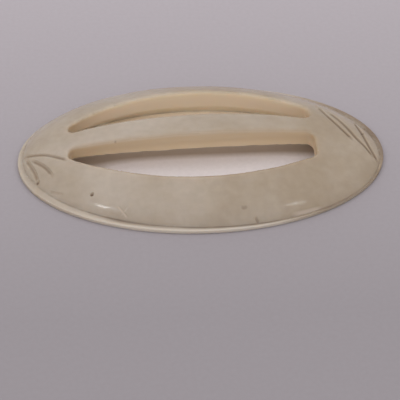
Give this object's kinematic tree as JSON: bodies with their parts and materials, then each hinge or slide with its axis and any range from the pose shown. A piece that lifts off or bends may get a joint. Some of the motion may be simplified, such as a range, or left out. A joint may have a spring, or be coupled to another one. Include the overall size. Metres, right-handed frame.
{
  "type": "slide buckle",
  "caption": "Domed oval slide buckle for a sewn belt, with a hollow back, curved slots either side of a bowed centre bar, and carved fans at the tips.",
  "frame": {"origin": "middle of the oval on the flat foot that it rests on", "axes": "+X along the oval towards the tip with the wider end land, +Y to the rear, +Z out of the domed face"},
  "size_m": [0.076, 0.0462, 0.0087],
  "materials": {
    "cream_plastic": "polished, slightly translucent"
  },
  "bodies": {
    "root": {"slide_buckle": "cream_plastic"}
  },
  "joints": []
}
